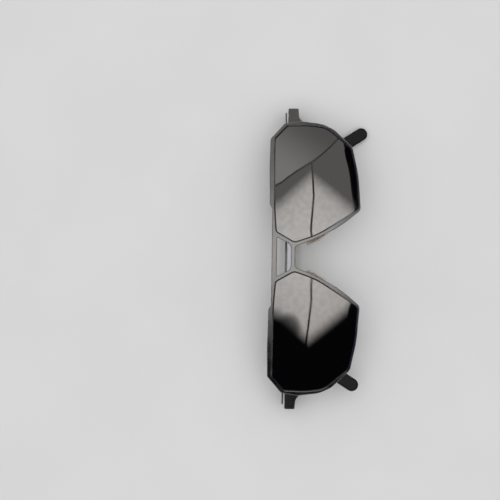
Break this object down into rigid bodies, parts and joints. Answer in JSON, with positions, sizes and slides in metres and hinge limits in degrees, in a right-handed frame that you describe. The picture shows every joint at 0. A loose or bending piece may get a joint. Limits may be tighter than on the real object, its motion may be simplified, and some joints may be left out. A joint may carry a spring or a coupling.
{
  "type": "clip on sunglasses",
  "caption": "Full-rim metal spectacles with folded temples and a dark mirrored magnetic sun clip with a double bridge, lying lens side up.",
  "frame": {"origin": "on the surface that the folded glasses lie on, under the middle of the front and level with the hinges, on the outer face of the right temple", "axes": "+X across the face towards the wearer's left, +Y towards the brow, +Z out of the front of the lenses, up when the glasses lie folded"},
  "size_m": [0.1474, 0.0487, 0.0239],
  "materials": {
    "frame_metal": "satin gunmetal coating",
    "bridge_metal": "polished gunmetal",
    "clip_metal": "satin gunmetal coating",
    "sun_lens": "dark tint with a light mirror coating",
    "clear_lens": "clear, polished",
    "silicone": "clear soft silicone",
    "tip_black": "glossy black acetate",
    "hardware": "fine machined",
    "magnet": "nickel plated"
  },
  "bodies": {
    "front": {"left_rim": "frame_metal", "right_rim": "frame_metal", "bridge": "bridge_metal", "left_end_piece": "frame_metal", "right_end_piece": "frame_metal", "left_clear_lens": "clear_lens", "right_clear_lens": "clear_lens", "left_lock_block": "frame_metal", "right_lock_block": "frame_metal", "rim_lock_screws": "hardware", "left_pad_arm": "hardware", "right_pad_arm": "hardware", "pad_screws": "hardware", "left_front_leaf": "hardware", "right_front_leaf": "hardware", "hinge_screws": "hardware", "frame_magnets": "magnet"},
    "left_temple": {"left_temple_arm": "frame_metal", "left_temple_tip": "tip_black", "left_temple_leaf": "hardware"},
    "right_temple": {"right_temple_arm": "frame_metal", "right_temple_tip": "tip_black", "right_temple_leaf": "hardware"},
    "left_pad": {"left_nose_pad": "silicone", "left_pad_core": "hardware"},
    "right_pad": {"right_nose_pad": "silicone", "right_pad_core": "hardware"},
    "clip": {"clip_frame": "clip_metal", "clip_left_lens": "sun_lens", "clip_right_lens": "sun_lens", "clip_left_claw": "clip_metal", "clip_right_claw": "clip_metal", "clip_magnets": "magnet"}
  },
  "joints": [
    {"name": "left_temple_fold", "type": "hinge", "parent": "front", "child": "left_temple", "pos_m": [0.07, 0, 0.0033], "axis": [0, -1, 0], "range_deg": [0, 94]},
    {"name": "right_temple_fold", "type": "hinge", "parent": "front", "child": "right_temple", "pos_m": [-0.07, 0, 0.0033], "axis": [0, 1, 0], "range_deg": [0, 90]},
    {"name": "clip_pull_off", "type": "slide", "parent": "front", "child": "clip", "axis": [0, 0, 1], "range_m": [0, 0.03]},
    {"name": "left_pad_rock", "type": "hinge", "parent": "front", "child": "left_pad", "pos_m": [0.01151, -0.01141, 0.01673], "axis": [0.3892, 0.2625, -0.8829], "range_deg": [-10, 10]},
    {"name": "right_pad_rock", "type": "hinge", "parent": "front", "child": "right_pad", "pos_m": [-0.01151, -0.01141, 0.01673], "axis": [-0.3892, 0.2625, -0.8829], "range_deg": [-10, 10]}
  ]
}
